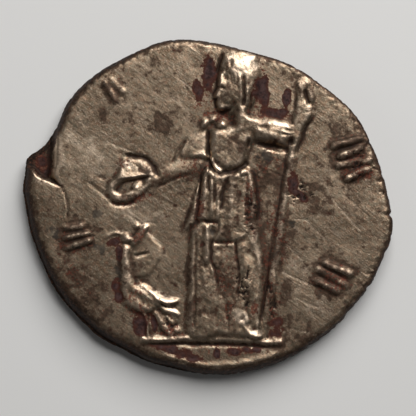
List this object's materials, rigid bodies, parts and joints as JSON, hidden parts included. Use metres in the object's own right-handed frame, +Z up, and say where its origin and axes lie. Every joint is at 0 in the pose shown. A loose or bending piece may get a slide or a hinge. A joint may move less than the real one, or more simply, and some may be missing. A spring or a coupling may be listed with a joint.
{
  "type": "ancient silver coin",
  "caption": "Worn struck silver coin of uneven oval outline with a split edge, a standing draped figure and a bird in low relief on its upper side and a plain bust below.",
  "frame": {"origin": "on the surface the coin lies on, under the middle of its outline", "axes": "+Z up out of the side with the standing figure, +Y towards the figure's head, +X to the figure's left as seen"},
  "size_m": [0.0188, 0.017, 0.0019],
  "materials": {
    "silver": "worn, toned silver with dark purple-brown patina in the hollows"
  },
  "bodies": {
    "root": {"coin": "silver"}
  },
  "joints": []
}
